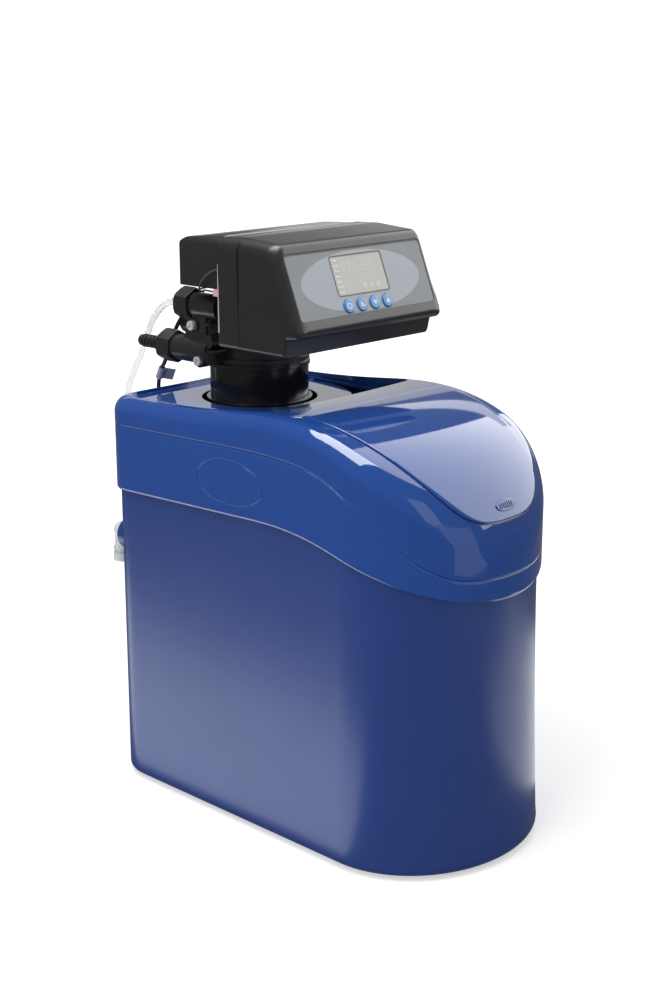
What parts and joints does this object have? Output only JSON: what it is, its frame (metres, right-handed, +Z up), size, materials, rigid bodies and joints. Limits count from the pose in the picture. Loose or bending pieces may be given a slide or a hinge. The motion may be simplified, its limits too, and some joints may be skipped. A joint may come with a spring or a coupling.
{
  "type": "water softener",
  "caption": "Cabinet water softener: blue salt cabinet with a domed hinged lid, resin tank inside, and a black control valve head with a tilted panel on its neck.",
  "frame": {"origin": "on the floor plane, under the middle of the cabinet, at the face of the middle foot pad", "axes": "+Z up, -Y towards the rounded front with the salt lid, +X to the right of someone facing the rear"},
  "size_m": [0.2425, 0.5019, 0.551],
  "materials": {
    "cabinet_blue": "satin",
    "cover_blue": "gloss",
    "black_plastic": "satin",
    "black_gloss": "gloss",
    "black_rubber": "matte",
    "white_plastic": "translucent",
    "clear_tube": "clear",
    "zinc_steel": "plated",
    "panel_grey": "satin",
    "display_clear": "gloss",
    "board_green": "satin",
    "button_blue": "gloss",
    "tank_blue": "satin",
    "resin_amber": "granular",
    "natural_plastic": "satin",
    "ceramic": "polished",
    "motor_grey": "satin",
    "float_orange": "satin",
    "nozzle_yellow": "gloss",
    "tag_grey": "satin",
    "plug_pink": "satin"
  },
  "bodies": {
    "cabinet": {"cabinet_body": "cabinet_blue", "foot_pads": "black_rubber", "cover_skirt": "cover_blue", "top_cover": "cover_blue", "lid_hinge_pins": "zinc_steel", "overflow_elbow": "white_plastic", "overflow_gasket": "black_rubber", "overflow_nut": "white_plastic", "resin_tank": "tank_blue", "tank_foot": "black_plastic", "tank_collar": "black_gloss", "base_seal": "black_rubber", "riser_tube": "natural_plastic", "bottom_distributor": "black_plastic", "top_distributor": "black_plastic", "resin_bed": "resin_amber", "brine_well": "natural_plastic", "brine_well_cap": "black_plastic", "float_rod": "natural_plastic", "valve_body": "black_plastic", "inlet_union": "black_plastic", "outlet_union": "black_plastic", "injector_body": "black_plastic", "injector_nozzle": "nozzle_yellow", "injector_screws": "zinc_steel", "brine_nut": "black_plastic", "drain_nut": "black_plastic", "drain_barb": "black_plastic", "head_front_cover": "black_plastic", "head_frame": "black_plastic", "head_rear_cover": "black_plastic", "head_screws": "zinc_steel", "panel_fascia": "panel_grey", "display_window": "display_clear", "display_module": "display_clear", "display_board": "board_green", "drive_motor": "motor_grey", "fixed_disc": "ceramic", "brine_tube": "clear_tube", "tube_grommet": "black_rubber", "sensor_lead": "black_rubber", "sensor_plug": "plug_pink", "lead_gland": "black_rubber", "power_lead": "black_rubber", "lead_tag": "tag_grey", "lead_coil": "black_rubber", "coil_tie": "black_plastic", "lead_tail": "black_rubber", "power_adapter": "black_plastic"},
    "lid": {"salt_lid": "cover_blue"},
    "key_menu": {"button_menu": "button_blue"},
    "key_manual": {"button_manual": "button_blue"},
    "key_down": {"button_down": "button_blue"},
    "key_up": {"button_up": "button_blue"},
    "drive": {"drive_gear": "natural_plastic", "valve_stem": "zinc_steel", "moving_disc": "ceramic"},
    "pinion": {"motor_pinion": "natural_plastic"},
    "impeller": {"meter_impeller": "button_blue"},
    "float": {"brine_float": "float_orange"}
  },
  "joints": [
    {"name": "lid_hinge", "type": "hinge", "parent": "cabinet", "child": "lid", "pos_m": [0, -0.052, 0.395], "axis": [-1, 0, 0], "range_deg": [0, 90]},
    {"name": "menu_press", "type": "slide", "parent": "cabinet", "child": "key_menu", "axis": [0, 0.9272, -0.3746], "range_m": [0, 0.001], "stiffness_N_per_m": 300},
    {"name": "manual_press", "type": "slide", "parent": "cabinet", "child": "key_manual", "axis": [0, 0.9272, -0.3746], "range_m": [0, 0.001], "stiffness_N_per_m": 300},
    {"name": "down_press", "type": "slide", "parent": "cabinet", "child": "key_down", "axis": [0, 0.9272, -0.3746], "range_m": [0, 0.001], "stiffness_N_per_m": 300},
    {"name": "up_press", "type": "slide", "parent": "cabinet", "child": "key_up", "axis": [0, 0.9272, -0.3746], "range_m": [0, 0.001], "stiffness_N_per_m": 300},
    {"name": "drive_spin", "type": "hinge", "parent": "cabinet", "child": "drive", "pos_m": [0, 0.07, 0.492], "axis": [0, 1, 0], "continuous": true},
    {"name": "pinion_spin", "type": "hinge", "parent": "cabinet", "child": "pinion", "pos_m": [0.042, 0.042, 0.492], "axis": [0, 1, 0], "continuous": true},
    {"name": "impeller_spin", "type": "hinge", "parent": "cabinet", "child": "impeller", "pos_m": [-0.028, 0.1425, 0.456], "axis": [0, 1, 0], "continuous": true},
    {"name": "float_slide", "type": "slide", "parent": "cabinet", "child": "float", "axis": [0, 0, 1], "range_m": [0, 0.06]}
  ],
  "couplings": [
    {"joint": "pinion_spin", "follows": "drive_spin", "ratio": -3.6667}
  ]
}
